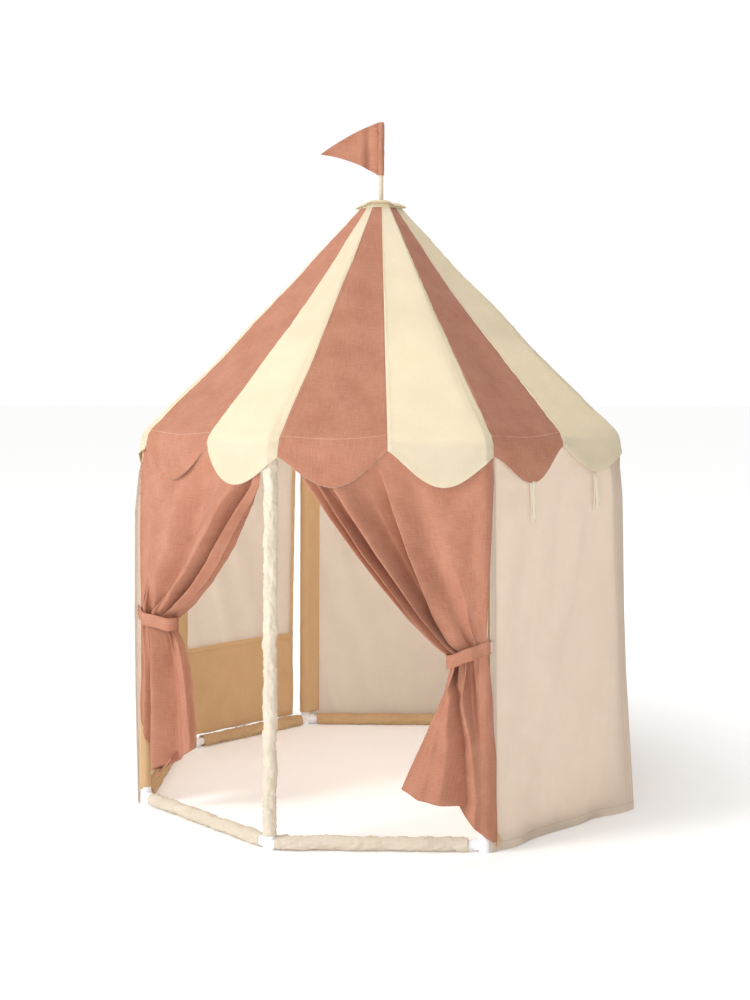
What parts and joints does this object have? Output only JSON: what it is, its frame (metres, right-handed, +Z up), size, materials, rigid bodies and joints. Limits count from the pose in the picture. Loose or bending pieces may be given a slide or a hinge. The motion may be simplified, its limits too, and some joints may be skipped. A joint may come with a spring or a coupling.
{
  "type": "play tent",
  "caption": "Eight-sided fabric play pavilion on a plastic tube frame, with a scalloped pointed roof, a pennant and tied-back doorway curtains.",
  "frame": {"origin": "centre of the footprint, on the ground", "axes": "+Z up; -Y is the middle of the right half of the doorway (side B-C); corner B, the doorway pole, is to the left of it at -X; +X to the right seen from the front"},
  "size_m": [1.1826, 1.1969, 1.708],
  "materials": {
    "white_plastic": "smooth white moulded and extruded plastic, softly glossy",
    "cream_plastic": "smooth cream plastic rod, satin",
    "terracotta_cloth": "plain woven cotton canvas, terracotta, matt",
    "cream_cloth": "plain woven cotton canvas, cream, matt",
    "beige_cloth": "plain woven cotton canvas, light beige, matt",
    "tan_cloth": "plain woven cotton canvas, warm tan, matt"
  },
  "bodies": {
    "root": {"base_connector_a": "white_plastic", "base_connector_b": "white_plastic", "base_connector_c": "white_plastic", "base_connector_d": "white_plastic", "base_connector_e": "white_plastic", "base_connector_f": "white_plastic", "base_connector_g": "white_plastic", "base_connector_h": "white_plastic", "base_tube_ab": "white_plastic", "base_tube_bc": "white_plastic", "base_tube_cd": "white_plastic", "base_tube_de": "white_plastic", "base_tube_ef": "white_plastic", "base_tube_fg": "white_plastic", "base_tube_gh": "white_plastic", "base_tube_ha": "white_plastic", "pole_a": "white_plastic", "pole_b": "white_plastic", "pole_c": "white_plastic", "pole_d": "white_plastic", "pole_e": "white_plastic", "pole_f": "white_plastic", "pole_g": "white_plastic", "pole_h": "white_plastic", "eave_ring": "white_plastic", "roof_frame": "white_plastic", "flagpole": "cream_plastic", "roof_canopy": "terracotta_cloth", "roof_cap": "cream_cloth", "flag": "terracotta_cloth", "wall_cd": "beige_cloth", "wall_de": "beige_cloth", "wall_ef": "beige_cloth", "wall_fg": "beige_cloth", "wall_gh": "tan_cloth", "wall_ha": "beige_cloth", "curtain_left": "terracotta_cloth", "curtain_right": "terracotta_cloth", "tieback_left": "terracotta_cloth", "tieback_right": "terracotta_cloth", "base_sleeve_ab": "cream_cloth", "base_sleeve_bc": "cream_cloth", "pole_sleeve_b": "cream_cloth"}
  },
  "joints": []
}
